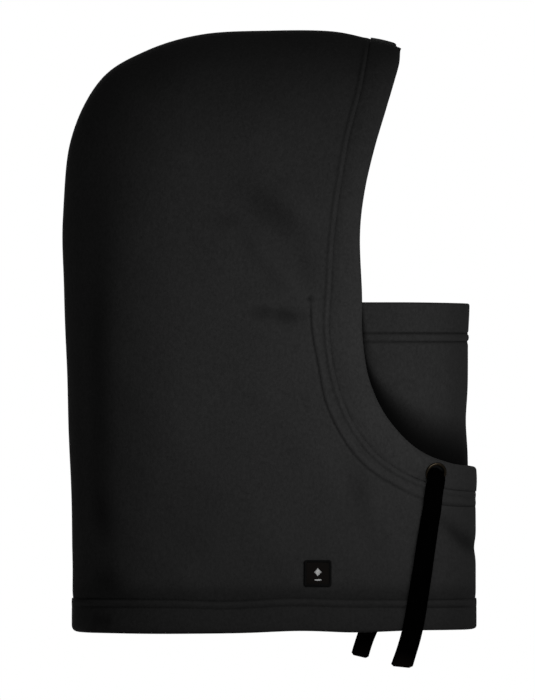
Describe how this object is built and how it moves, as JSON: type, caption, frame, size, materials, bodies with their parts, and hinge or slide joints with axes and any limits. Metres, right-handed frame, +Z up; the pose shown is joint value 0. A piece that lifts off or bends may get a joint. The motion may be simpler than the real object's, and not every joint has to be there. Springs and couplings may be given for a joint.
{
  "type": "balaclava",
  "caption": "Fleece hood covering head and neck, with a drawcord casing round the face opening, an inner face mask and a stitched neck hem.",
  "frame": {"origin": "centre of the neck opening, on the plane of the hem's lower edge, where the wearer's neck passes through", "axes": "+X the way the wearer looks, +Y to the wearer's left, +Z up towards the crown"},
  "size_m": [0.2903, 0.1344, 0.4474],
  "materials": {
    "hood_fleece": "matte brushed fleece",
    "edge_fleece": "matte brushed fleece, pressed by stitching",
    "mask_fleece": "matte brushed fleece",
    "cord_webbing": "flat woven cord",
    "eyelet_metal": "dark antique brass",
    "label_weave": "woven patch",
    "seam_tape": "woven tape",
    "care_satin": "blank satin label"
  },
  "bodies": {
    "hood": {"right_side_panel": "hood_fleece", "left_side_panel": "hood_fleece", "right_face_casing": "edge_fleece", "left_face_casing": "edge_fleece", "neck_hem": "edge_fleece", "drawcord_in_casing": "cord_webbing", "right_eyelet": "eyelet_metal", "left_eyelet": "eyelet_metal", "right_eyelet_washer": "eyelet_metal", "left_eyelet_washer": "eyelet_metal", "side_label": "label_weave", "crown_seam_tape": "seam_tape", "care_label": "care_satin"},
    "mask": {"mask_panel": "mask_fleece", "mask_top_hem": "mask_fleece"},
    "right_tail": {"right_drawcord_tail": "cord_webbing"},
    "left_tail": {"left_drawcord_tail": "cord_webbing"}
  },
  "joints": [
    {"name": "mask_pull_down", "type": "slide", "parent": "hood", "child": "mask", "axis": [0, 0, -1], "range_m": [0, 0.06]},
    {"name": "right_cord_pull", "type": "slide", "parent": "hood", "child": "right_tail", "axis": [-0.1655, -0.058, -0.9845], "range_m": [0, 0.03]},
    {"name": "left_cord_pull", "type": "slide", "parent": "hood", "child": "left_tail", "axis": [-0.373, 0.15, -0.9156], "range_m": [0, 0.03]}
  ]
}
